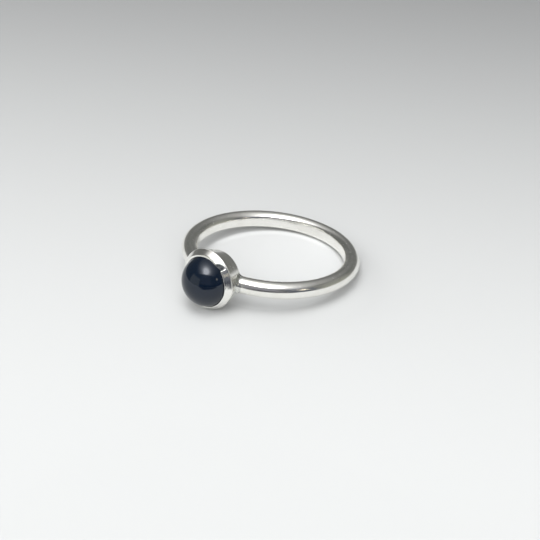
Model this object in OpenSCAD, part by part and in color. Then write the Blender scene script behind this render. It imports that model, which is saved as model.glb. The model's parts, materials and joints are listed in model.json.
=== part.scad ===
// Onyx ring: a plain band of round silver wire with one bezel cup
// soldered to it, holding a high round cabochon of black onyx.
// The ring lies on its side, resting on the rim of the cup and on the
// back of the band. +Z is up, and the stone faces -Y.

/* [Finger hole and band] */
// Diameter of the finger hole
finger_d = 17.4; // [14:0.1:23]
// Diameter of the round wire that the band is bent from
wire_d = 2; // [1.5:0.05:2.4]
// Depth to which the inside of the wire is dressed flat
dressed_flat = 0.15; // [0.05:0.05:0.35]

/* [Stone] */
// Diameter of the round cabochon, whose dome is half a ball
stone_d = 6; // [5:0.25:8]
// Height of the straight girdle between the dome and the flat back
girdle_h = 0.75; // [0.4:0.05:0.9]

/* [Bezel cup] */
// Distance from the finger hole to the flat back of the cup
back_lift = 0.15; // [0.1:0.05:0.5]
// Depth of the cup from its flat back to its widest edge
cup_depth = 2.19; // [2:0.01:3]
// Metal round the stone at the cup's widest edge
rim_w = 0.6; // [0.4:0.02:0.8]
// Lean of the cup's wall away from the cup's axis, in degrees
wall_lean = 16.4; // [4:0.2:20]
// Height of the dome's centre above the cup's widest edge
dome_rise = 0.16; // [0.05:0.01:0.3]
// Height of the lip's edge above the dome's centre
lip_reach = 0.6; // [0.5:0.01:0.9]
// Radius of the rounded edge of the lip
lip_edge_r = 0.09; // [0.06:0.01:0.12]
// Thickness of the plate that closes the back of the cup
back_t = 0.6; // [0.4:0.05:0.7]
// Width of the ledge inside the cup that the stone sits on
ledge_w = 0.5; // [0.3:0.05:1]

/* [Solder and edges] */
// Height of the solder fillet round the band where it meets the cup
solder_h = 0.3; // [0.15:0.01:0.45]
// Length of the solder fillet along the band
solder_l = 0.5; // [0.3:0.05:0.8]
// Rounding of the cup's widest edge
crease_r = 0.15; // [0.08:0.01:0.25]
// Rounding of the edge of the cup's back
back_r = 0.2; // [0.1:0.01:0.3]
// Gap all round between the stone and the metal
stone_gap = 0.03; // [0.02:0.01:0.05]

/* [Hidden] */
$fn = 128;

silver = [0.83, 0.83, 0.82];
onyx = [0.05, 0.06, 0.09];

finger_r = finger_d / 2;
wire_r = wire_d / 2;
stone_r = stone_d / 2;
cavity_r = stone_r + stone_gap;

// Radius of the wire's centre line round the finger
wire_path_r = finger_r - dressed_flat + wire_r;

// Distances along the cup's axis, from the centre of the finger hole
back_at = finger_r + back_lift;
crease_at = back_at + cup_depth;
dome_at = crease_at + dome_rise;
seat_at = dome_at - girdle_h;

// The cup's outline in (radius, distance along its axis)
crease = [stone_r + rim_w, crease_at];
back_edge = [crease.x - cup_depth * tan(wall_lean), back_at];

// The lip's rounded edge sits a little into the cavity's wall, which cuts it
lip_bite = 0.3;
lip_ring_r = cavity_r + lip_bite * lip_edge_r;
lip = [sqrt(lip_ring_r ^ 2 - lip_reach ^ 2), dome_at + lip_reach];
bevel_lean = atan2(crease.x - lip.x, lip.y - crease.y)
           - asin(lip_edge_r / norm(lip - crease));
bevel_end = lip + lip_edge_r * [cos(bevel_lean), sin(bevel_lean)];

// Depth of the solder cone's root inside the cup's wall, and of its tip in the wire
solder_root = 0.35;
solder_sunk = 0.02;

// Where the wire's centre line meets the cup's wall: a line and a circle
wall_slope = tan(wall_lean);
wall_foot = back_edge.x - wall_slope * back_at;
joint_y = (sqrt(wire_path_r ^ 2 * (1 + wall_slope ^ 2) - wall_foot ^ 2)
           - wall_foot * wall_slope) / (1 + wall_slope ^ 2);
joint_turn = acos(joint_y / wire_path_r);

// The ring rests on the cup's rounded widest edge and on the band's far side
rest_edge = corner_centre(back_edge, crease, bevel_end, crease_r);
rest_span = wire_path_r + rest_edge.y;
rest_tilt = atan2(rest_edge.x, rest_span)
          - asin((wire_r - crease_r) / norm([rest_edge.x, rest_span]));
centre_h = wire_r + wire_path_r * sin(rest_tilt);

// Reach of the tilted ring along Y, before and behind the finger hole's centre
reach_front = dome_at * cos(rest_tilt) + stone_r;
reach_back = wire_path_r * cos(rest_tilt) + wire_r;

function unit(v) = v / norm(v);

// Half the angle at corner b of the path a, b, c
function half_angle(a, b, c) = acos(unit(a - b) * unit(c - b)) / 2;

// Centre of the arc of radius r that rounds corner b
function corner_centre(a, b, c, r) =
    b + unit(unit(a - b) + unit(c - b)) * r / sin(half_angle(a, b, c));

// Point where that arc leaves the side from b towards a
function corner_end(a, b, c, r) =
    b + unit(a - b) * r / tan(half_angle(a, b, c));

// From the ring's own frame, where the finger hole runs along Z, to where it lies
module at_rest() {
    translate([0, (reach_front - reach_back) / 2, centre_h])
        rotate([-rest_tilt, 0, 0])
            children();
}

// Turns a shape made round Z so that it points out along the cup's axis
module on_cup_axis() {
    rotate([90, 0, 0]) children();
}

// Outline of the stone, or of the cavity that holds it, on one side of its axis
module stone_outline(gap) {
    intersection() {
        translate([0, dome_at]) circle(r = stone_r + gap);
        translate([0, dome_at]) square(stone_d);
    }
    translate([0, seat_at - gap]) square([stone_r + gap, girdle_h + gap]);
}

// Outline of the cup's outside, on one side of its axis
module cup_outline() {
    origin = [0, back_at];
    polygon([
        origin,
        corner_end(origin, back_edge, crease, back_r),
        corner_end(crease, back_edge, origin, back_r),
        corner_end(back_edge, crease, bevel_end, crease_r),
        corner_end(bevel_end, crease, back_edge, crease_r),
        bevel_end,
        lip,
        [0, lip.y],
    ]);
    translate(corner_centre(origin, back_edge, crease, back_r)) circle(r = back_r);
    translate(rest_edge) circle(r = crease_r);
    translate(lip) circle(r = lip_edge_r);
}

module wire_ring() {
    rotate_extrude() translate([wire_path_r, 0]) circle(d = wire_d);
}

// Solder drawn up into a cone round the wire on one side of the cup, and
// dressed level with the cup's back
module solder(side) {
    swell = solder_h / solder_l;
    small_r = wire_r - solder_sunk;
    intersection() {
        rotate([0, 0, side * joint_turn])
            translate([-side * solder_root, -wire_path_r, 0])
                rotate([0, side * 90, 0])
                    cylinder(
                        r1 = small_r + swell * (solder_l + solder_root),
                        r2 = small_r,
                        h = solder_l + solder_root
                    );
        on_cup_axis()
            translate([0, 0, back_at])
                cylinder(r = crease.x + solder_l, h = cup_depth);
    }
}

module band_and_bezel() {
    recess_r = stone_r - ledge_w;
    recess_at = back_at + back_t;
    color(silver)
        at_rest()
            difference() {
                union() {
                    wire_ring();
                    on_cup_axis() rotate_extrude() cup_outline();
                    for (side = [-1, 1]) solder(side);
                }
                cylinder(r = finger_r, h = 4 * wire_d, center = true);
                on_cup_axis() {
                    rotate_extrude() stone_outline(stone_gap);
                    translate([0, 0, recess_at]) cylinder(r = recess_r, h = seat_at - recess_at);
                }
            }
}

module onyx_cabochon() {
    color(onyx) at_rest() on_cup_axis() rotate_extrude() stone_outline(0);
}

band_and_bezel();
onyx_cabochon();
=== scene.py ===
import json
import math

import bpy
import numpy as np
from mathutils import Matrix, Vector, noise


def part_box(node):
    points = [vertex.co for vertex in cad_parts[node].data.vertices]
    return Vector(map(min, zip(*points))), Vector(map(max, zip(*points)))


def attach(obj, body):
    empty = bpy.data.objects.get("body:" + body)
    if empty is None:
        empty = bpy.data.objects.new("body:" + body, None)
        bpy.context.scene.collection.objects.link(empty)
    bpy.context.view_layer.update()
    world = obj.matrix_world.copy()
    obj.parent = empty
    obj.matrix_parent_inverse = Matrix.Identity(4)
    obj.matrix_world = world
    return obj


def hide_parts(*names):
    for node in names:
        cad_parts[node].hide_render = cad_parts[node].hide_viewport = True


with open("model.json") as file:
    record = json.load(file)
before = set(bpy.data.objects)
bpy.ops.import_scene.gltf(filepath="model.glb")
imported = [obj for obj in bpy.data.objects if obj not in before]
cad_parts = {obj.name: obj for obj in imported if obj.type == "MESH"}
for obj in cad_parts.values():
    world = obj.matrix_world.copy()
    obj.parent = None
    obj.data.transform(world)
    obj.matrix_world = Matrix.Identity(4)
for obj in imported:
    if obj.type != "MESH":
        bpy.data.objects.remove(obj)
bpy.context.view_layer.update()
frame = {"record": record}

scene = bpy.context.scene
mm = 0.001
inMm = 1000.0       # turns metres into millimetres

# where the ring lies and the size of its hole are read from the frame, and its wire is a stock gauge
hole = frame["record"]["mounts"][0]
holeCentre = Vector(hole["pos_m"])
holeAxis = Vector(hole["axis"]).normalized()
boreRadius = hole["dims"]["r_mm"] * mm
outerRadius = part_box("band_and_bezel")[1].x
wireRadius = 1.0 * mm
lieAngle = math.atan2(holeAxis.y, holeAxis.z)
ringPlace = Matrix.Translation(holeCentre) @ Matrix.Rotation(-lieAngle, 4, "X")
print("ring lies at", round(math.degrees(lieAngle), 2), "degrees")


def towards(azimuth, elevation):
    # azimuths run from the stone's side towards the right, and both angles are in degrees
    azimuth = math.radians(azimuth)
    elevation = math.radians(elevation)
    return (
        math.sin(azimuth) * math.cos(elevation),
        -math.cos(azimuth) * math.cos(elevation),
        math.sin(elevation),
    )


# camera: the photo's angle, with the aim given as a shift from the centre of the finger hole

camera = {
    "azimuth": 39.84,
    "elevation": 31.78,
    "roll": 1.22,
    "distance": 220.918 * mm,
    "aimRight": -0.104 * mm,
    "aimUp": -1.995 * mm,
    "lens": 124.83,
    "sensorWidth": 36,
    "nearest": 0.01,
    "farthest": 20,
}


def setCamera():
    back = Vector(towards(camera["azimuth"], camera["elevation"]))
    roll = Matrix.Rotation(math.radians(camera["roll"]), 4, "Z")
    turn = back.to_track_quat("Z", "Y").to_matrix().to_4x4() @ roll
    right = turn.to_3x3() @ Vector((1, 0, 0))
    up = turn.to_3x3() @ Vector((0, 1, 0))
    spot = holeCentre + back * camera["distance"] + right * camera["aimRight"] + up * camera["aimUp"]
    data = bpy.data.cameras.new("photoCamera")
    data.lens = camera["lens"]
    data.sensor_width = camera["sensorWidth"]
    data.clip_start = camera["nearest"]
    data.clip_end = camera["farthest"]
    view = bpy.data.objects.new("photoCamera", data)
    scene.collection.objects.link(view)
    view.matrix_world = Matrix.Translation(spot) @ turn
    scene.camera = view


setCamera()
print("camera set")


# node helpers: they take sockets or plain values, and all but the first give back what the new node puts out

def plug(tree, socket, value):
    if isinstance(value, bpy.types.NodeSocket):
        tree.links.new(value, socket)
    else:
        socket.default_value = value


def sums(tree, operation, first, second=0.0, third=0.0):
    node = tree.nodes.new("ShaderNodeMath")
    node.operation = operation
    plug(tree, node.inputs[0], first)
    plug(tree, node.inputs[1], second)
    plug(tree, node.inputs[2], third)
    return node.outputs[0]


def times(tree, first, second):
    return sums(tree, "MULTIPLY", first, second)


def vectors(tree, operation, first, second=(0, 0, 0)):
    node = tree.nodes.new("ShaderNodeVectorMath")
    node.operation = operation
    plug(tree, node.inputs[0], first)
    plug(tree, node.inputs[1], second)
    return node.outputs["Value" if operation in ("DOT_PRODUCT", "DISTANCE") else "Vector"]


def ease(tree, value, low, high, fromValue=0.0, toValue=1.0):
    node = tree.nodes.new("ShaderNodeMapRange")
    node.interpolation_type = "SMOOTHSTEP"
    plug(tree, node.inputs["Value"], value)
    plug(tree, node.inputs["From Min"], low)
    plug(tree, node.inputs["From Max"], high)
    plug(tree, node.inputs["To Min"], fromValue)
    plug(tree, node.inputs["To Max"], toValue)
    return node.outputs["Result"]


def mixColours(tree, share, first, second, way="MIX"):
    node = tree.nodes.new("ShaderNodeMix")
    node.data_type = "RGBA"
    node.blend_type = way
    plug(tree, node.inputs["Factor"], share)
    for label, colour in (("A", first), ("B", second)):
        plug(tree, node.inputs[label], (*colour, 1) if isinstance(colour, tuple) else colour)
    return node.outputs["Result"]


def splitUp(tree, vector):
    node = tree.nodes.new("ShaderNodeSeparateXYZ")
    tree.links.new(vector, node.inputs[0])
    return tuple(node.outputs)


# surroundings: a grey room that the metal and the stone reflect, painted by direction. Angles are in degrees,
# and a wall turns into the next one up between the two elevations of its top.

room = {
    "lowWall": (0.172, 0.176, 0.17),
    "lowWallTop": (6, 20),
    "midWall": (0.134, 0.138, 0.135),
    "midWallTop": (33, 46),
    "ceiling": (0.17, 0.172, 0.168),
}

# patches of the walls, each painted over those before it. One is full as far as "inside" from its azimuth,
# and gone at "outside", and it fades out over "soft" below and above its top.
wallPatches = {
    "paleOlive": {
        "colour": (0.25, 0.255, 0.235), "azimuth": 135, "inside": 12, "outside": 36, "top": 38, "soft": 8,
    },
    "olive": {
        "colour": (0.31, 0.315, 0.275), "azimuth": 122, "inside": 12, "outside": 40, "top": 12, "soft": 8,
    },
    "bright": {
        "colour": (0.62, 0.63, 0.59), "azimuth": 340, "inside": 20, "outside": 27, "top": 32, "soft": 4,
    },
    "blue": {
        "colour": (0.122, 0.132, 0.158), "azimuth": 84, "inside": 16, "outside": 26, "top": 56, "soft": 4,
    },
    "dusk": {
        "colour": (0.235, 0.235, 0.262), "azimuth": 31, "inside": 20, "outside": 28, "top": 56, "soft": 4,
    },
    "lowDark": {
        "colour": (0.033, 0.037, 0.052), "azimuth": 62, "inside": 34, "outside": 44, "top": 8, "soft": 4,
    },
    "dark": {
        "colour": (0.022, 0.022, 0.032), "azimuth": 31, "inside": 20, "outside": 28, "top": 10, "soft": 3,
    },
}

# the light and its glow are placed on a flat ceiling one unit above the ring, ahead of it and across
ceilingLight = {
    "colour": (1.0, 1.0, 1.005),
    "strength": 8.5,
    "azimuth": 27,
    "ahead": 0.4,
    "reach": 0.2,               # full strength this far from its middle
    "squash": 1.45,             # the light is this much shorter across than ahead
    "bend": 0.27,               # the glow drifts aside behind the light
    "glowSpread": 0.187,        # half strength this far past the reach
    "edge": 0.69,               # little of the glow gets past here
    "edgeSoft": 0.05,
    "pastEdge": 0.04,
    "leftFade": (-0.95, -0.5),  # the glow runs out on both sides and low down
    "rightFade": (1.15, 0.8),
    "lowFade": (0.3, 0.45),
    "leastHeight": 0.02,
}

warmLamp = {
    "colour": (2.5, 2.3, 1.8),
    "azimuth": 88.5,
    "elevation": 27,
    "radius": 4.0,
    "soft": 0.25,
}


def paintWalls(tree, look, height):
    # azimuths are compared as flat directions, so they have no seam
    flat = vectors(tree, "NORMALIZE", vectors(tree, "MULTIPLY", look, (1, 1, 0)))

    def climb(start, end):
        # nothing at the first elevation and full at the second
        return ease(tree, height, math.sin(math.radians(start)), math.sin(math.radians(end)))

    colour = mixColours(tree, climb(*room["lowWallTop"]), room["lowWall"], room["midWall"])
    colour = mixColours(tree, climb(*room["midWallTop"]), colour, room["ceiling"])
    for patch in wallPatches.values():
        along = vectors(tree, "DOT_PRODUCT", flat, towards(patch["azimuth"], 0))
        outside = math.cos(math.radians(patch["outside"]))
        inside = math.cos(math.radians(patch["inside"]))
        below = climb(patch["top"] + patch["soft"], patch["top"] - patch["soft"])
        share = times(tree, ease(tree, along, outside, inside), below)
        colour = mixColours(tree, share, colour, patch["colour"])
    return colour


def paintCeilingLight(tree, look, height):
    stretch = sums(tree, "DIVIDE", 1.0, sums(tree, "MAXIMUM", height, ceilingLight["leastHeight"]))
    onCeiling = vectors(tree, "MULTIPLY", look, stretch)
    ahead = vectors(tree, "DOT_PRODUCT", onCeiling, towards(ceilingLight["azimuth"], 0))
    across = vectors(tree, "DOT_PRODUCT", onCeiling, towards(ceilingLight["azimuth"] + 90, 0))
    aheadOff = sums(tree, "SUBTRACT", ahead, ceilingLight["ahead"])
    behind = sums(tree, "MAXIMUM", times(tree, aheadOff, -1.0), 0.0)
    bent = sums(tree, "MULTIPLY_ADD", behind, ceilingLight["bend"], across)
    bent = times(tree, bent, ceilingLight["squash"])
    away = sums(tree, "SQRT", sums(tree, "ADD", times(tree, aheadOff, aheadOff), times(tree, bent, bent)))
    away = sums(tree, "MAXIMUM", sums(tree, "SUBTRACT", away, ceilingLight["reach"]), 0.0)
    away = sums(tree, "DIVIDE", away, ceilingLight["glowSpread"])
    glow = sums(tree, "DIVIDE", ceilingLight["strength"], sums(tree, "ADD", times(tree, away, away), 1.0))
    glow = times(tree, glow, ease(tree, across, *ceilingLight["leftFade"]))
    glow = times(tree, glow, ease(tree, across, *ceilingLight["rightFade"]))
    edge = ceilingLight["edge"]
    soft = ceilingLight["edgeSoft"]
    glow = times(tree, glow, ease(tree, ahead, edge + soft, edge - soft, ceilingLight["pastEdge"], 1.0))
    glow = times(tree, glow, ease(tree, height, *ceilingLight["lowFade"]))
    return mixColours(tree, 1.0, ceilingLight["colour"], glow, "MULTIPLY")


def lightRoom():
    world = bpy.data.worlds.new("greyRoom")
    scene.world = world
    world.use_nodes = True
    tree = world.node_tree
    tree.nodes.clear()
    look = tree.nodes.new("ShaderNodeTexCoord").outputs["Generated"]
    height = splitUp(tree, look)[2]
    colour = paintWalls(tree, look, height)
    colour = mixColours(tree, 1.0, colour, paintCeilingLight(tree, look, height), "ADD")
    nearLamp = vectors(tree, "DOT_PRODUCT", look, towards(warmLamp["azimuth"], warmLamp["elevation"]))
    wide = math.cos(math.radians(warmLamp["radius"] * (1 + warmLamp["soft"])))
    narrow = math.cos(math.radians(warmLamp["radius"] * (1 - warmLamp["soft"])))
    colour = mixColours(tree, ease(tree, nearLamp, wide, narrow), colour, warmLamp["colour"])
    background = tree.nodes.new("ShaderNodeBackground")
    tree.links.new(colour, background.inputs["Color"])
    output = tree.nodes.new("ShaderNodeOutputWorld")
    tree.links.new(background.outputs[0], output.inputs["Surface"])


# two soft lamps that light the matt floor and don't show in the metal, given by where they hang
lamps = {
    "frontLamp": {"azimuth": 30, "elevation": 42, "width": 2.0, "height": 0.6, "power": 11.5},
    "leftLamp": {"azimuth": 290, "elevation": 25, "width": 0.6, "height": 0.5, "power": 2.8},
}


def hangLamps():
    for name, lamp in lamps.items():
        data = bpy.data.lights.new(name, "AREA")
        data.shape = "RECTANGLE"
        data.size = lamp["width"]
        data.size_y = lamp["height"]
        data.energy = lamp["power"]
        light = bpy.data.objects.new(name, data)
        scene.collection.objects.link(light)
        away = Vector(towards(lamp["azimuth"], lamp["elevation"]))
        turn = away.to_track_quat("Z", "Y").to_matrix().to_4x4()
        light.matrix_world = Matrix.Translation(away) @ turn
        light.visible_glossy = False
        light.visible_camera = False


lightRoom()
hangLamps()
scene.view_settings.view_transform = "Standard"
scene.view_settings.look = "None"
scene.view_settings.exposure = 0
scene.view_settings.gamma = 1
print("room lit")


# floor: pale board with painted light in its colour: painted darker towards its far side, where the light
# falls off, and painted lighter within the ring, where its polished inside throws light

floor = {
    "halfSize": 3.0,
    "near": (0.545, 0.553, 0.551),
    "far": (0.182, 0.184, 0.185),
    "fadeAzimuth": 211.5,
    "fadeSpan": (-38 * mm, 128 * mm),
    "throwInside": 0.1,             # light that the ring's polished inside throws on the board within it
    "throwRim": 0.23,               # and more of it close to the far side of the band
    "throwWidth": 1.0 * mm,
    "throwAzimuth": 220,
    "throwSpan": (4.0 * mm, 7.0 * mm),
    "roughness": 0.75,
    "gloss": 0.15,
}

# dark card on the floor towards the camera, which only the reflections see: it paints a dark reflection where
# the floor is pale
darkCard = {
    "corners": [        # in mm
        (9, -500), (9, -30), (15, -27), (25, -23), (57, -20), (140, -34), (300, -70), (300, -500),
    ],
    "height": 0.3 * mm,
    "colour": (0.02, 0.02, 0.025),
    "roughness": 1.0,
}


def boardColour(tree):
    # painted light: a falloff towards the far side, and light thrown by the ring on the board within it
    place = tree.nodes.new("ShaderNodeTexCoord").outputs["Object"]
    along = vectors(tree, "DOT_PRODUCT", place, towards(floor["fadeAzimuth"], 0))
    colour = mixColours(tree, ease(tree, along, *floor["fadeSpan"]), floor["near"], floor["far"])
    fromRing = vectors(tree, "MULTIPLY", vectors(tree, "SUBTRACT", place, tuple(holeCentre)), (1, 1, 0))
    apart = sums(tree, "SQRT", vectors(tree, "DOT_PRODUCT", fromRing, fromRing))
    inside = ease(tree, apart, boreRadius + wireRadius / 2, boreRadius)
    nearBand = ease(tree, apart, boreRadius - floor["throwWidth"], boreRadius)
    farAlong = vectors(tree, "DOT_PRODUCT", fromRing, towards(floor["throwAzimuth"], 0))
    rim = times(tree, nearBand, ease(tree, farAlong, *floor["throwSpan"]))
    thrown = sums(tree, "MULTIPLY_ADD", rim, floor["throwRim"], floor["throwInside"])
    thrown = sums(tree, "MULTIPLY_ADD", thrown, inside, 1.0)
    return mixColours(tree, 1.0, colour, thrown, "MULTIPLY")


def layFlat(name, corners):
    mesh = bpy.data.meshes.new(name)
    mesh.from_pydata(corners, [], [tuple(range(len(corners)))])
    board = bpy.data.objects.new(name, mesh)
    scene.collection.objects.link(board)
    material = bpy.data.materials.new(name)
    material.use_nodes = True
    mesh.materials.append(material)
    return board


def layFloor():
    half = floor["halfSize"]
    board = layFlat("paleFloor", [(-half, -half, 0), (half, -half, 0), (half, half, 0), (-half, half, 0)])
    tree = board.active_material.node_tree
    shader = tree.nodes["Principled BSDF"]
    plug(tree, shader.inputs["Base Color"], boardColour(tree))
    shader.inputs["Roughness"].default_value = floor["roughness"]
    shader.inputs["Specular IOR Level"].default_value = floor["gloss"]


def layDarkCard():
    card = layFlat("darkCard", [(x * mm, y * mm, darkCard["height"]) for x, y in darkCard["corners"]])
    shader = card.active_material.node_tree.nodes["Principled BSDF"]
    shader.inputs["Base Color"].default_value = (*darkCard["colour"], 1)
    shader.inputs["Roughness"].default_value = darkCard["roughness"]
    card.visible_camera = False
    card.visible_diffuse = False
    card.visible_shadow = False


layFloor()
layDarkCard()
print("floor laid")


# finish: effects that the materials share

effects = {
    "lineSteps": 0.16,                  # steps of the grain round the axis, for lines one turn long
    "scratchLie": (0.4, 0.9, 0.3),
    "scratchStretch": (1.0, 9.0, 9.0),
    "scratchGrain": 0.3,                # grain of the scratches for each of their sizes
    "scratchFrom": 0.72,
    "scratchSoft": 0.12,
    "wearGrain": 2.5,                   # per mm
    "wearWander": 0.08,                 # in mm
    "wearSoft": 0.4,
    "wearFade": 0.05,                   # in mm, outward from the least radius
    "grimeRagged": 0.5,
    "grimeEdge": (1.1, 0.85),
    "speckSpan": (0.35, 0.65),
}


def newGroup(name, inputs, outputs):
    tree = bpy.data.node_groups.new(name, "ShaderNodeTree")
    for label, kind, start in inputs:
        socket = tree.interface.new_socket(label, in_out="INPUT", socket_type=kind)
        socket.default_value = start
    for label in outputs:
        tree.interface.new_socket(label, in_out="OUTPUT", socket_type="NodeSocketFloat")
    return tree, tree.nodes.new("NodeGroupInput").outputs, tree.nodes.new("NodeGroupOutput").inputs


def grain(tree, vector, scale, detail=2.0, roughness=0.6, turning=None):
    node = tree.nodes.new("ShaderNodeTexNoise")
    if turning is not None:
        node.noise_dimensions = "4D"
        plug(tree, node.inputs["W"], turning)
    plug(tree, node.inputs["Vector"], vector)
    plug(tree, node.inputs["Scale"], scale)
    plug(tree, node.inputs["Detail"], detail)
    plug(tree, node.inputs["Roughness"], roughness)
    return node.outputs["Fac"]


def seenAlongAxis(tree, place, given):
    # the place as seen from the group's centre, with the axis along Z, and its distance from that axis
    rotate = tree.nodes.new("ShaderNodeVectorRotate")
    rotate.rotation_type = "EULER_XYZ"
    tree.links.new(vectors(tree, "SUBTRACT", place, given["Centre"]), rotate.inputs["Vector"])
    tree.links.new(given["Turn"], rotate.inputs["Rotation"])
    parts = splitUp(tree, rotate.outputs[0])
    squares = [times(tree, part, part) for part in parts[:2]]
    return parts, sums(tree, "SQRT", sums(tree, "ADD", *squares))


def buildPolishLines():
    # fine lines that run round an axis, as a felt wheel leaves them
    tree, given, made = newGroup(
        "polishLines",
        [
            ("Centre", "NodeSocketVector", (0, 0, 0)),
            ("Turn", "NodeSocketVector", (0, 0, 0)),
            ("Lines per mm", "NodeSocketFloat", 8.0),
            ("Length in turns", "NodeSocketFloat", 0.1),
        ],
        ["Lines"],
    )
    place = tree.nodes.new("ShaderNodeTexCoord").outputs["Object"]
    (x, y, z), reach = seenAlongAxis(tree, place, given)
    across = times(tree, given["Lines per mm"], inMm)
    around = sums(tree, "DIVIDE", effects["lineSteps"], given["Length in turns"])
    join = tree.nodes.new("ShaderNodeCombineXYZ")
    plug(tree, join.inputs["X"], times(tree, sums(tree, "DIVIDE", x, reach), around))
    plug(tree, join.inputs["Y"], times(tree, sums(tree, "DIVIDE", y, reach), around))
    plug(tree, join.inputs["Z"], times(tree, reach, across))
    plug(tree, made["Lines"], grain(tree, join.outputs[0], 1.0, turning=times(tree, z, across)))
    return tree


def buildHandling():
    # soft dents and hairline scratches from the polishing bench and from handling
    tree, given, made = newGroup(
        "handling",
        [
            ("Dent size in mm", "NodeSocketFloat", 1.5),
            ("Scratch size in mm", "NodeSocketFloat", 0.4),
            ("Scratch share", "NodeSocketFloat", 0.1),
        ],
        ["Dents", "Scratches"],
    )
    place = tree.nodes.new("ShaderNodeTexCoord").outputs["Object"]
    dentScale = sums(tree, "DIVIDE", inMm, given["Dent size in mm"])
    plug(tree, made["Dents"], grain(tree, place, dentScale, roughness=0.45))
    stretch = tree.nodes.new("ShaderNodeMapping")
    stretch.inputs["Rotation"].default_value = effects["scratchLie"]
    stretch.inputs["Scale"].default_value = effects["scratchStretch"]
    tree.links.new(place, stretch.inputs["Vector"])
    scratchScale = sums(tree, "DIVIDE", effects["scratchGrain"] * inMm, given["Scratch size in mm"])
    hair = grain(tree, stretch.outputs[0], scratchScale, detail=3.0)
    start = sums(tree, "SUBTRACT", effects["scratchFrom"], given["Scratch share"])
    plug(tree, made["Scratches"], ease(tree, hair, start, sums(tree, "ADD", start, effects["scratchSoft"])))
    return tree


def buildEdgeWear():
    # a narrow band of dulled metal along an edge that runs round an axis
    tree, given, made = newGroup(
        "edgeWear",
        [
            ("Centre", "NodeSocketVector", (0, 0, 0)),
            ("Turn", "NodeSocketVector", (0, 0, 0)),
            ("Height in mm", "NodeSocketFloat", 0.0),
            ("Width in mm", "NodeSocketFloat", 0.1),
            ("Least radius in mm", "NodeSocketFloat", 3.0),
        ],
        ["Wear"],
    )
    place = tree.nodes.new("ShaderNodeTexCoord").outputs["Object"]
    parts, reach = seenAlongAxis(tree, place, given)
    apart = sums(tree, "ABSOLUTE", sums(tree, "SUBTRACT", times(tree, parts[2], inMm), given["Height in mm"]))
    wander = sums(tree, "SUBTRACT", grain(tree, place, effects["wearGrain"] * inMm, roughness=0.5), 0.5)
    apart = sums(tree, "MULTIPLY_ADD", wander, effects["wearWander"], apart)
    half = times(tree, given["Width in mm"], 0.5)
    outer = times(tree, half, 1 + effects["wearSoft"])
    inner = times(tree, half, 1 - effects["wearSoft"])
    least = given["Least radius in mm"]
    outside = ease(tree, times(tree, reach, inMm), least, sums(tree, "ADD", least, effects["wearFade"]))
    plug(tree, made["Wear"], times(tree, ease(tree, apart, outer, inner), outside))
    return tree


def buildGrime():
    # darkening that stays round one spot, patchy towards its edge: real residue on the solder, and painted
    # dark reflection in the cup's file cut
    tree, given, made = newGroup(
        "grimeAndPaintedReflection",
        [
            ("Spot", "NodeSocketVector", (0, 0, 0)),
            ("Reach in mm", "NodeSocketFloat", 0.5),
            ("Grain per mm", "NodeSocketFloat", 6.0),
        ],
        ["Grime", "Specks"],
    )
    place = tree.nodes.new("ShaderNodeTexCoord").outputs["Object"]
    apart = times(tree, vectors(tree, "DISTANCE", place, given["Spot"]), inMm)
    share = sums(tree, "DIVIDE", apart, given["Reach in mm"])
    specks = grain(tree, place, times(tree, given["Grain per mm"], inMm))
    ragged = sums(tree, "SUBTRACT", specks, 0.5)
    share = sums(tree, "MULTIPLY_ADD", ragged, effects["grimeRagged"], share)
    plug(tree, made["Grime"], ease(tree, share, *effects["grimeEdge"]))
    plug(tree, made["Specks"], ease(tree, specks, *effects["speckSpan"]))
    return tree


polishLines = buildPolishLines()
handling = buildHandling()
edgeWear = buildEdgeWear()
grimeAndPaintedReflection = buildGrime()


def useGroup(tree, group, values):
    node = tree.nodes.new("ShaderNodeGroup")
    node.node_tree = group
    for label, value in values.items():
        plug(tree, node.inputs[label], value)
    return node.outputs


def raised(tree, height, distance, strength, below=None):
    node = tree.nodes.new("ShaderNodeBump")
    node.inputs["Strength"].default_value = strength
    node.inputs["Distance"].default_value = distance
    plug(tree, node.inputs["Height"], height)
    if below is not None:
        tree.links.new(below, node.inputs["Normal"])
    return node.outputs[0]


silverLook = {
    "colour": (0.955, 0.945, 0.905),
    "dullColour": (0.90, 0.885, 0.84),
    "dullSpan": (0.35, 0.75),
    # colours of the darkening round a spot: real residue on the solder, and painted dark reflection in the
    # cup's file cut
    "grimeAndPaintedReflectionColour": (0.25, 0.275, 0.265),
    "paleGrimeColour": (0.55, 0.57, 0.54),
    "scratchSize": 0.5,
    "scratchShare": 0.08,
    "scratchRoughness": 0.12,
    "lineRoughness": 0.13,
    "lineSpan": (0.3, 0.75),
    "wearRoughness": 0.3,
    "dentHeight": 0.012 * mm,
    "lineHeight": 0.0012 * mm,
    "bump": 0.6,
}


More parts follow.
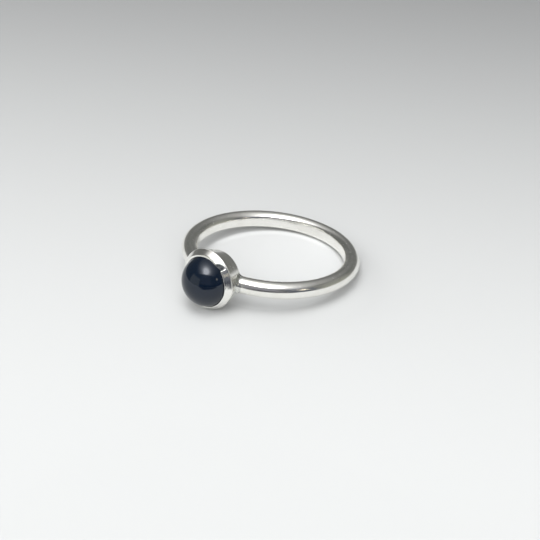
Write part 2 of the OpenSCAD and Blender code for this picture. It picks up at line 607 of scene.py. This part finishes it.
def silverFinish(name, centre, turn, piece, grimeAndPaintedReflectionAt=None):
    material = bpy.data.materials.new(name)
    material.use_nodes = True
    tree = material.node_tree
    shader = tree.nodes["Principled BSDF"]
    shader.inputs["Metallic"].default_value = 1.0
    lines = useGroup(tree, polishLines, {
        "Centre": centre,
        "Turn": turn,
        "Lines per mm": piece["linesPerMm"],
        "Length in turns": piece["lineTurns"],
    })["Lines"]
    worn = useGroup(tree, handling, {
        "Dent size in mm": piece["dentSize"],
        "Scratch size in mm": silverLook["scratchSize"],
        "Scratch share": silverLook["scratchShare"],
    })
    dull = ease(tree, worn["Dents"], *silverLook["dullSpan"])
    colour = mixColours(tree, dull, silverLook["colour"], silverLook["dullColour"])
    lined = ease(tree, lines, *silverLook["lineSpan"])
    rough = sums(tree, "MULTIPLY_ADD", lined, silverLook["lineRoughness"], piece["roughness"])
    rough = sums(tree, "MULTIPLY_ADD", worn["Scratches"], silverLook["scratchRoughness"], rough)
    if "wearHeight" in piece:
        edge = useGroup(tree, edgeWear, {
            "Centre": centre,
            "Turn": turn,
            "Height in mm": piece["wearHeight"],
            "Width in mm": piece["wearWidth"],
            "Least radius in mm": piece["wearRadius"],
        })["Wear"]
        rough = sums(tree, "MULTIPLY_ADD", edge, silverLook["wearRoughness"], rough)
    # darker metal round a spot: real residue on the solder, and in the cup's file cut a painted dark
    # reflection
    if grimeAndPaintedReflectionAt is not None:
        grimeAndReflectionMark = useGroup(tree, grimeAndPaintedReflection, {
            "Spot": tuple(ringPlace @ Vector(grimeAndPaintedReflectionAt)),
            "Reach in mm": piece["grimeAndPaintedReflectionReach"],
            "Grain per mm": piece["grimeAndPaintedReflectionGrain"],
        })
        grimeAndReflectionTint = mixColours(tree, grimeAndReflectionMark["Specks"], silverLook["grimeAndPaintedReflectionColour"], silverLook["paleGrimeColour"])
        colour = mixColours(tree, times(tree, grimeAndReflectionMark["Grime"], piece["grimeAndPaintedReflectionShare"]), colour, grimeAndReflectionTint)
    plug(tree, shader.inputs["Base Color"], colour)
    plug(tree, shader.inputs["Roughness"], rough)
    soft = raised(tree, worn["Dents"], silverLook["dentHeight"], silverLook["bump"])
    fine = raised(tree, lines, silverLook["lineHeight"], silverLook["bump"], soft)
    plug(tree, shader.inputs["Normal"], fine)
    return material


onyxLook = {
    "colour": (0.0018, 0.0056, 0.0135),
    "cloudColour": (0.0032, 0.0072, 0.0165),
    "cloudSize": 2.2,
    "cloudSpan": (0.4, 0.65),
    "sheenTint": (0.93, 0.96, 1.0),
    "lightBending": 1.54,
    "roughness": 0.075,
    "scratchSize": 0.35,
    "scratchShare": 0.1,
    "scratchRoughness": 0.14,
    "linesPerMm": 4.0,
    "lineTurns": 0.2,
    "lineHeight": 0.0008 * mm,
    "bump": 0.5,
}


def onyxFinish(centre, turn):
    material = bpy.data.materials.new("polishedOnyx")
    material.use_nodes = True
    tree = material.node_tree
    shader = tree.nodes["Principled BSDF"]
    shader.inputs["IOR"].default_value = onyxLook["lightBending"]
    shader.inputs["Specular Tint"].default_value = (*onyxLook["sheenTint"], 1)
    worn = useGroup(tree, handling, {
        "Dent size in mm": onyxLook["cloudSize"],
        "Scratch size in mm": onyxLook["scratchSize"],
        "Scratch share": onyxLook["scratchShare"],
    })
    lines = useGroup(tree, polishLines, {
        "Centre": centre,
        "Turn": turn,
        "Lines per mm": onyxLook["linesPerMm"],
        "Length in turns": onyxLook["lineTurns"],
    })["Lines"]
    cloudy = ease(tree, worn["Dents"], *onyxLook["cloudSpan"])
    colour = mixColours(tree, cloudy, onyxLook["colour"], onyxLook["cloudColour"])
    plug(tree, shader.inputs["Base Color"], colour)
    rough = sums(tree, "MULTIPLY_ADD", worn["Scratches"], onyxLook["scratchRoughness"], onyxLook["roughness"])
    plug(tree, shader.inputs["Roughness"], rough)
    plug(tree, shader.inputs["Normal"], raised(tree, lines, onyxLook["lineHeight"], onyxLook["bump"]))
    return material


# meshes: each is worked out in the ring's own frame, where the hole runs along Z and the stone faces -Y

def gridFaces(rows, columns, closed):
    # each row is a loop, and a closed grid joins its last row to its first
    faces = []
    for row in range(rows if closed else rows - 1):
        here = row * columns
        there = (row + 1) % rows * columns
        for column in range(columns):
            after = (column + 1) % columns
            faces.append((here + column, here + after, there + after, there + column))
    return faces


def turnOutward(mesh):
    # the signed volume is negative when the faces look inward
    mesh.calc_loop_triangles()
    corners = np.array([vertex.co for vertex in mesh.vertices])
    triangles = np.array([triangle.vertices[:] for triangle in mesh.loop_triangles])
    first, second, third = (corners[triangles[:, i]] for i in range(3))
    volume = np.einsum("ij,ij->i", first, np.cross(second, third)).sum()
    if volume < 0:
        mesh.flip_normals()


def makePiece(name, points, faces, node, material):
    mesh = bpy.data.meshes.new(name)
    mesh.from_pydata([tuple(point) for point in points], [], faces)
    mesh.transform(ringPlace)
    mesh.validate()
    turnOutward(mesh)
    mesh.shade_smooth()
    mesh.materials.append(material)
    piece = bpy.data.objects.new(name, mesh)
    scene.collection.objects.link(piece)
    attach(piece, "root")
    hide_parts(node)
    print("made", name, "with", len(mesh.polygons), "faces")


seedSteps = (1, 1.7, -1)        # how far one step of a seed moves the noise each way


def unevenness(point, size, seed):
    # smooth noise from -1 to 1 at a point given in metres
    return noise.noise(Vector(point) / size + Vector([seed * step for step in seedSteps]))


def degreesApart(angle, at):
    return (math.degrees(angle) - at + 180) % 360 - 180


def hump(angle, at, width):
    # from 1 at its middle to nothing on both sides; the place and the width are in degrees
    return math.exp(-((degreesApart(angle, at) / width) ** 2))


def smoothShare(value):
    share = min(max(value, 0), 1)
    return share * share * (3 - 2 * share)


# band: round wire whose inside is dressed flat on a mandrel

band = {
    "edgeSoftness": 0.16 * mm,
    "flatWander": 0.030 * mm,           # the filed edge of the flat isn't quite straight
    "flatWanderSize": 1.1 * mm,
    "flatWanderSeed": 3.0,
    "flatLeans": [(126, 16, 1.0), (108, 14, 2.8), (84, 12, 4.0)],       # ring angle, width, lean in degrees
    "flatRises": [(172, 44, 0.11 * mm), (86, 14, -0.035 * mm)],         # ring angle, width, metal left on
    "flatWithin": 0.3,                  # only this much of the wire's inside can be dressed
    "handBend": 0.010 * mm,
    "handBendSize": 3.5 * mm,
    "handBendSeed": 7.0,
    "around": 880,
    "section": [        # from, to and steps round the wire, where 0 is its outside and 180 faces the finger
        (-140, 140, 40), (140, 155, 8), (155, 205, 8), (205, 220, 8),
    ],
    "linesPerMm": 9.0,
    "lineTurns": 0.03,
    "dentSize": 1.6,
    "roughness": 0.13,
}
wirePath = outerRadius - wireRadius


def smoothLeast(first, second, softness):
    share = min(max(0.5 + 0.5 * (second - first) / softness, 0), 1)
    return second * (1 - share) + first * share - softness * share * (1 - share)


def wireReach(angle, turn, outward):
    # how far the wire's surface is from its centre line: its radius, or less where it is dressed flat
    if math.cos(turn) >= -band["flatWithin"]:
        return wireRadius
    lean = math.radians(sum(size * hump(angle, at, width) for at, width, size in band["flatLeans"]))
    leftOn = sum(size * hump(angle, at, width) for at, width, size in band["flatRises"])
    edge = outward * boreRadius + Vector((0, 0, math.copysign(wireRadius, math.sin(turn))))
    wander = band["flatWander"] * unevenness(edge, band["flatWanderSize"], band["flatWanderSeed"])
    chord = (wirePath - boreRadius + leftOn + wander) / -math.cos(turn + lean)
    return smoothLeast(wireRadius, chord, band["edgeSoftness"])


def makeBand(material):
    section = np.radians([turn for start, end, steps in band["section"]
                          for turn in np.linspace(start, end, steps, endpoint=False)])
    points = []
    for angle in np.linspace(0, math.tau, band["around"], endpoint=False):
        outward = Vector((math.cos(angle), math.sin(angle), 0))
        for turn in section:
            side = outward * math.cos(turn) + Vector((0, 0, math.sin(turn)))
            spot = outward * wirePath + side * wireReach(angle, turn, outward)
            bend = band["handBend"] * unevenness(spot, band["handBendSize"], band["handBendSeed"])
            points.append(spot + side * bend)
    faces = gridFaces(band["around"], len(section), True)
    makePiece("wireBand", points, faces, "band_and_bezel", material)


# bezel: the cup that holds the stone, turned round an axis that runs out along -Y.
# Heights are distances from the centre of the finger hole, and angles are in degrees.

bezel = {
    "stoneRadius": 3.0 * mm,
    "backLift": 0.15 * mm,
    "depth": 2.19 * mm,
    "rimWidth": 0.6 * mm,
    "wallLean": 16.4,
    "domeRise": 0.16 * mm,
    "creaseRound": 0.15 * mm,
    "backRound": 0.2 * mm,
    "stoneGap": 0.03 * mm,
    "girdle": 0.75 * mm,
    "ledge": 0.5 * mm,
    "backPlate": 0.6 * mm,
    "lipRadius": 3.161 * mm,                # the lip's corner, and its height above the dome's centre
    "lipRise": 0.61 * mm,
    "lipSlope": 3,                          # rise of the lip's front towards the stone
    "lipFollows": 0.5,                      # how much of the widest edge's wander the lip's corner takes up
    "lipRound": 0.12 * mm,
    "lipFade": 0.2 * mm,                    # the wander runs out over this much of the lip's metal
    "lipMetalFrom": 0.98,                   # where that metal starts, as a share of the cavity's radius
    "lipThinning": 0.7,                     # the most of that metal that the wander may take
    "leastLip": 0.004 * mm,
    "broadLipRound": 0.28 * mm,             # where the lip is pressed over harder
    "broadLipAt": 115,
    "broadLipHalf": 62,
    "broadLipSoft": 14,
    "cutFrom": 43.5,                        # a flat file cut in the bevel, steep where the file stopped
    "cutFromSoft": 1.4,
    "cutTo": 62.5,
    "cutToSoft": 2.5,
    "cutLean": 43,                          # the cut's own direction, from the cup's axis and round it
    "cutTowards": 38,
    "cutDepth": 2.36 * mm,                  # from the dome's centre
    "cutLeaves": 0.02 * mm,                 # metal left over the stone
    "creaseShift": 0.16 * mm,               # the hand-filed bevel sits a little off centre
    "creaseShiftTowards": 150,
    "creaseBump": 0.20 * mm,
    "creaseBumpAt": -4,
    "creaseBumpWidth": 13,
    "restAt": 270,                          # the rim touches the floor here
    "restWidth": 16,
    "insideFrom": 1.2 * mm,                 # the cavity's wall is further than this from the back
    "cavityMargin": 1.0001,                 # and no further than this from the axis, as a share of its radius
    "around": 720,
    "steps": {"back": 4, "backArc": 8, "wall": 10, "creaseArc": 10, "bevel": 24, "lipArc": 12, "cavity": 8},
    "linesPerMm": 7.0,
    "lineTurns": 0.08,
    "dentSize": 1.3,
    "roughness": 0.1,
    "wearHeight": -0.16,                    # worn line along the widest edge, in mm from the dome's centre
    "wearWidth": 0.12,
    "wearRadius": 3.2,
    "paintedReflectionTurn": 53,                        # painted dark reflection: the metal in the file cut is painted darker round this spot
    "paintedReflectionRadius": 3.1 * mm,
    "paintedReflectionRise": 0.42 * mm,
    "grimeAndPaintedReflectionReach": 0.55,
    "grimeAndPaintedReflectionGrain": 5.0,
    "grimeAndPaintedReflectionShare": 1.0,
}
stoneRadius = bezel["stoneRadius"]
cavityRadius = stoneRadius + bezel["stoneGap"]
backAt = boreRadius + bezel["backLift"]
creaseAt = backAt + bezel["depth"]
domeAt = creaseAt + bezel["domeRise"]
lipTop = domeAt + bezel["lipRise"]
seatAt = domeAt - bezel["girdle"]
creaseRadius = stoneRadius + bezel["rimWidth"]
wallLean = math.radians(bezel["wallLean"])
wallSlope = math.tan(wallLean)
backRadius = creaseRadius - bezel["depth"] * wallSlope


arcMargin = 0.3     # how far the points beside an arc stand off it, for its radius


def cornerArc(before, corner, after, radius, steps):
    # points along the arc that rounds a corner, with one point a little before and after it
    before, corner, after = (Vector(point) for point in (before, corner, after))
    toBefore = (before - corner).normalized()
    toAfter = (after - corner).normalized()
    half = toBefore.angle(toAfter) / 2
    middle = (toBefore + toAfter).normalized()
    centre = corner + middle * radius / math.sin(half)
    start = corner + toBefore * radius / math.tan(half)
    end = corner + toAfter * radius / math.tan(half)
    first = math.atan2(start.y - centre.y, start.x - centre.x)
    turn = (start - centre).angle_signed(end - centre)
    arc = [
        centre + radius * Vector((math.cos(first - turn * i / steps), math.sin(first - turn * i / steps)))
        for i in range(steps + 1)
    ]
    margin = radius * arcMargin
    return [start + toBefore * margin, *arc, end + toAfter * margin]


def between(start, end, count):
    start, end = Vector(start), Vector(end)
    return [start.lerp(end, (i + 1) / (count + 1)) for i in range(count)]


def lipRound(angle):
    apart = abs(degreesApart(angle, bezel["broadLipAt"]))
    share = smoothShare((bezel["broadLipHalf"] - apart) / bezel["broadLipSoft"] + 0.5)
    return bezel["lipRound"] + (bezel["broadLipRound"] - bezel["lipRound"]) * share


def cupOutline(angle):
    # the cup's section at one angle, from the middle of its back over the lip to the seat inside
    steps = bezel["steps"]
    middle = (0, backAt)
    back = (backRadius, backAt)
    crease = (creaseRadius, creaseAt)
    lip = (bezel["lipRadius"], lipTop)
    slope = math.tan(math.radians(bezel["lipSlope"]))
    inward = (0, lipTop + bezel["lipRadius"] * slope)
    backArc = cornerArc(middle, back, crease, bezel["backRound"], steps["backArc"])
    creaseArc = cornerArc(back, crease, lip, bezel["creaseRound"], steps["creaseArc"])
    lipArc = cornerArc(crease, lip, inward, lipRound(angle), steps["lipArc"])[1:-1]

    # the lip's sloping front runs in to the cavity, which goes on round the dome's centre down to the girdle
    centre = Vector((0, domeAt))
    start = lipArc[-1] - centre
    run = Vector((-1, slope)).normalized()
    nearest = start.dot(run)
    length = -nearest - math.sqrt(nearest ** 2 - start.length_squared + cavityRadius ** 2)
    inside = start + run * max(length, bezel["leastLip"])
    cavity = [
        Vector((cavityRadius * math.cos(turn), domeAt + cavityRadius * math.sin(turn)))
        for turn in np.linspace(math.atan2(inside.y, inside.x), 0, steps["cavity"])
    ]
    seat = seatAt - bezel["stoneGap"]
    ledgeRadius = stoneRadius - bezel["ledge"]
    plateAt = backAt + bezel["backPlate"]
    return [
        Vector(middle),
        *between(middle, backArc[0], steps["back"]),
        *backArc,
        *between(backArc[-1], creaseArc[0], steps["wall"]),
        *creaseArc,
        *between(creaseArc[-1], lipArc[0], steps["bevel"]),
        *lipArc,
        *cavity,
        Vector((cavityRadius, seat)),
        Vector((ledgeRadius, seat)),
        Vector((ledgeRadius, plateAt)),
        Vector((0, plateAt)),
    ]


def creaseWander(angle):
    # how far the widest edge stands off a true circle
    shift = bezel["creaseShift"] * math.cos(angle - math.radians(bezel["creaseShiftTowards"]))
    shift += bezel["creaseBump"] * hump(angle, bezel["creaseBumpAt"], bezel["creaseBumpWidth"])
    return shift * (1 - hump(angle, bezel["restAt"], bezel["restWidth"]))


def wallShift(angle, height):
    # the wander fades out down the wall, and partly up the bevel
    if height <= creaseAt:
        return creaseWander(angle) * max(0, (height - backAt) / (creaseAt - backAt)) ** 2
    rise = min(1, (height - creaseAt) / (lipTop - creaseAt))
    return creaseWander(angle) * (1 - (1 - bezel["lipFollows"]) * rise)


def cutShare(angle):
    # 1 inside the file cut, 0 outside it
    turn = math.degrees(angle)
    started = smoothShare((turn - bezel["cutFrom"]) / bezel["cutFromSoft"])
    return started * smoothShare((bezel["cutTo"] - turn) / bezel["cutToSoft"])


def cutBack(angle, radius, height):
    # a point beyond the cut's plane goes back onto it, and one that would then be in the cavity goes to where
    # the plane meets the cavity
    share = cutShare(angle)
    lean = math.radians(bezel["cutLean"])
    outward = math.sin(lean) * math.cos(angle - math.radians(bezel["cutTowards"]))
    upward = math.cos(lean)
    rise = height - domeAt
    beyond = radius * outward + rise * upward - bezel["cutDepth"]
    if share == 0 or beyond <= 0 or height < creaseAt - bezel["creaseRound"]:
        return radius, height
    size = outward ** 2 + upward ** 2
    flat = (radius - beyond * outward / size, rise - beyond * upward / size)
    cover = cavityRadius + bezel["cutLeaves"]
    if flat[1] > 0 and math.hypot(*flat) < cover or math.hypot(radius, rise) < cover:
        turn = math.atan2(upward, outward) - math.acos(min(1, bezel["cutDepth"] / (cover * math.sqrt(size))))
        flat = (cover * math.cos(turn), cover * math.sin(turn))
    return radius + (flat[0] - radius) * share, height + (domeAt + flat[1] - height) * share


def shapeCup(angle, radius, height):
    # what the file and the hand did to one point of the turned cup
    if radius < backRadius - bezel["backRound"]:
        return radius, height
    if radius <= cavityRadius * bezel["cavityMargin"] and height > backAt + bezel["insideFrom"]:
        return cutBack(angle, radius, height) if height > domeAt else (radius, height)
    push = wallShift(angle, height)
    if height > domeAt:
        # on the lip's front the wander fades out towards the stone
        metal = radius - cavityRadius * bezel["lipMetalFrom"]
        push = max(push, -bezel["lipThinning"] * metal) * min(1, max(0, metal) / bezel["lipFade"])
    return cutBack(angle, radius + push, height)


def turned(outlineAt, around, shape):
    # points and faces of a section of (radius, height) turned round the cup's axis. The section may change
    # with the angle, and a point on the axis is made once.
    points = []
    angles = np.linspace(0, math.tau, around, endpoint=False)
    sections = [outlineAt(angle) for angle in angles]
    rings = []
    for index in range(len(sections[0])):
        tip = sections[0][index].x == 0
        rings.append((len(points), tip))
        if tip:
            points.append(Vector((0, -sections[0][index].y, 0)))
            continue
        for angle, section in zip(angles, sections):
            radius, height = shape(angle, *section[index])
            points.append(Vector((radius * math.cos(angle), -height, radius * math.sin(angle))))
    faces = []
    for (here, tip), (there, nextTip) in zip(rings[:-1], rings[1:]):
        for step in range(around):
            after = (step + 1) % around
            if tip:
                faces.append((here, there + step, there + after))
            elif nextTip:
                faces.append((here + step, there, here + after))
            else:
                faces.append((here + step, there + step, there + after, here + after))
    return points, faces


def makeBezel(material):
    points, faces = turned(cupOutline, bezel["around"], shapeCup)
    makePiece("bezelCup", points, faces, "band_and_bezel", material)


# solder: a fillet rolled round the wire where it meets the cup, one on each side

solder = {
    "ball": 0.62 * mm,              # radius of the hollow that the solder draws into
    "sunk": 0.003 * mm,
    "root": 0.3 * mm,
    "wrap": 118,                    # how far round the wire it reaches, each way from the outside
    "around": 96,
    "across": 14,
    "lump": 0.05 * mm,
    "lumpSize": 0.36 * mm,
    "lumpSeed": 11.0,
    "within": 60,                   # the joint is looked for this far round the ring from the cup's axis
    "halvings": 40,
    "linesPerMm": 5.0,
    "lineTurns": 0.1,
    "dentSize": 0.8,
    "roughness": 0.16,
    "grimeAndPaintedReflectionAt": (3.5 * mm, -9.6 * mm, 0.5 * mm),
    "grimeAndPaintedReflectionReach": 1.3,
    "grimeAndPaintedReflectionGrain": 3.2,
    "grimeAndPaintedReflectionShare": 0.42,
}


def wallDistance(point):
    reach = math.hypot(point.x, point.z)
    foot = backRadius - wallSlope * backAt
    return (reach - foot + wallSlope * point.y) * math.cos(wallLean)


def wallNormal(point):
    level = math.cos(wallLean) / math.hypot(point.x, point.z)
    return Vector((point.x * level, math.sin(wallLean), point.z * level))


def ballCentre(side, along, turn):
    # the middle of a ball that touches the wire, and the direction to it from the wire's centre line
    outward = Vector((side * math.sin(along), -math.cos(along), 0))
    wireSide = outward * math.cos(turn) + Vector((0, 0, math.sin(turn)))
    return outward * wirePath + wireSide * (wireRadius + solder["ball"] - solder["sunk"]), wireSide


def ballInCorner(side, turn):
    # the ball goes along the wire until it touches the cup's wall too
    low, high = 0.0, math.radians(solder["within"])
    for _ in range(solder["halvings"]):
        along = (low + high) / 2
        if wallDistance(ballCentre(side, along, turn)[0]) > solder["ball"] - solder["sunk"]:
            high = along
        else:
            low = along
    return ballCentre(side, along, turn)


def solderRow(side, turn):
    # a hollow arc from the wire to the cup's wall, closed inside the metal and dressed level with its back
    centre, wireSide = ballInCorner(side, turn)
    toWire = -wireSide
    toWall = -wallNormal(centre)
    bend = toWire.angle(toWall)
    angle = math.atan2(centre.z, centre.x)
    row = []
    for step in range(solder["across"]):
        share = step / (solder["across"] - 1)
        arm = (toWire * math.sin((1 - share) * bend) + toWall * math.sin(share * bend)) / math.sin(bend)
        spot = centre + arm * solder["ball"]
        lump = solder["lump"] * unevenness(spot, solder["lumpSize"], solder["lumpSeed"] + side)
        spot = spot - arm * lump * math.sin(math.pi * share) ** 2
        push = wallShift(angle, -spot.y) * share
        row.append(spot + Vector((math.cos(angle), 0, math.sin(angle))) * push)
    row.append(row[-1] + toWall * solder["root"])
    row.append(row[0] + toWire * solder["root"])
    return [Vector((spot.x, min(spot.y, -backAt), spot.z)) for spot in row]


def makeSolder(name, side, material):
    turns = np.radians(np.linspace(-solder["wrap"], solder["wrap"], solder["around"]))
    points = [spot for turn in turns for spot in solderRow(side, turn)]
    columns = solder["across"] + 2
    faces = gridFaces(len(turns), columns, False)
    last = (len(turns) - 1) * columns
    faces.append(tuple(range(columns)))
    faces.append(tuple(last + i for i in reversed(range(columns))))
    makePiece(name, points, faces, "band_and_bezel", material)


# stone: a high round cabochon

stone = {
    "around": 256,
    "domeSteps": 64,
    "backEdge": 0.08 * mm,
    "backEdgeSteps": 4,
}


def makeStone(material):
    dome = [
        Vector((stoneRadius * math.sin(angle), domeAt + stoneRadius * math.cos(angle)))
        for angle in np.linspace(0, math.pi / 2, stone["domeSteps"] + 1)
    ]
    girdle = (stoneRadius, domeAt)
    corner = (stoneRadius, seatAt)
    middle = (0, seatAt)
    edge = cornerArc(girdle, corner, middle, stone["backEdge"], stone["backEdgeSteps"])
    outline = [*dome, *edge, Vector(middle)]

    def sameOutline(angle):
        return outline

    def asTurned(angle, radius, height):
        return radius, height

    points, faces = turned(sameOutline, stone["around"], asTurned)
    makePiece("onyxCabochon", points, faces, "onyx_cabochon", material)


toHole = (lieAngle, 0, 0)
toCup = (lieAngle - math.pi / 2, 0, 0)
stoneCentre = tuple(ringPlace @ Vector((0, -domeAt, 0)))
# where the painted dark reflection in the file cut is centred
cutTurn = math.radians(bezel["paintedReflectionTurn"])
cutSpot = (
    bezel["paintedReflectionRadius"] * math.cos(cutTurn),
    -domeAt - bezel["paintedReflectionRise"],
    bezel["paintedReflectionRadius"] * math.sin(cutTurn),
)
bandSilver = silverFinish("drawnSilver", tuple(holeCentre), toHole, band)
cupSilver = silverFinish("cupSilver", stoneCentre, toCup, bezel, cutSpot)
solderSilver = silverFinish("solderSilver", stoneCentre, toCup, solder, solder["grimeAndPaintedReflectionAt"])
onyx = onyxFinish(stoneCentre, toHole)
print("finishes mixed")

makeBand(bandSilver)
makeBezel(cupSilver)
makeSolder("solderRight", 1, solderSilver)
makeSolder("solderLeft", -1, solderSilver)
makeStone(onyx)
print("ring built")
